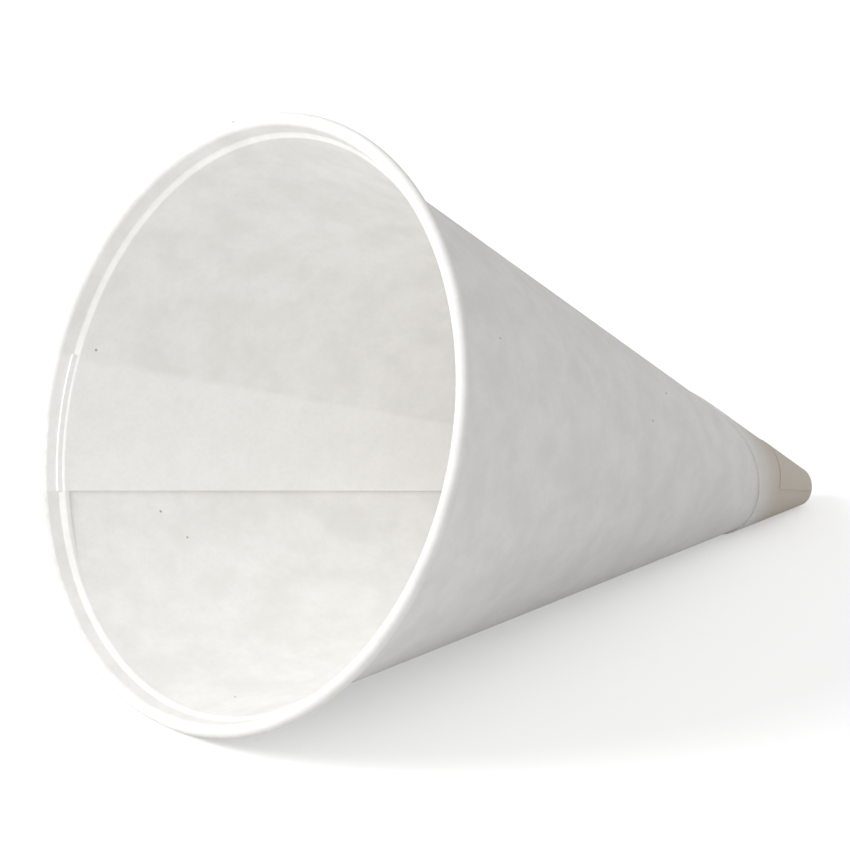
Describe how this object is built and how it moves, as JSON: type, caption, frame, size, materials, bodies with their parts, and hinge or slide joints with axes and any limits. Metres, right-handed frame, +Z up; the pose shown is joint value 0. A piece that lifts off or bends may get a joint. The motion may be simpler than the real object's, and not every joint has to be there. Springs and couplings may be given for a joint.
{
  "type": "cone paper cup",
  "caption": "Rolled-rim paper cone cup lying on its side, with a glued overlap seam inside, an outer wrap round the point and a blunt folded tip; it holds a short cold drink.",
  "frame": {"origin": "centre of the bounding box, on the surface that the cup lies on", "axes": "+X runs along that surface from the mouth to the point, +Z is up, and +Y is the side where the seam is"},
  "size_m": [0.1052, 0.073, 0.0676],
  "materials": {
    "cup_paper": "uncoated, matt, cloudy fibre formation"
  },
  "bodies": {
    "root": {"cone_cup": "cup_paper"}
  },
  "joints": []
}
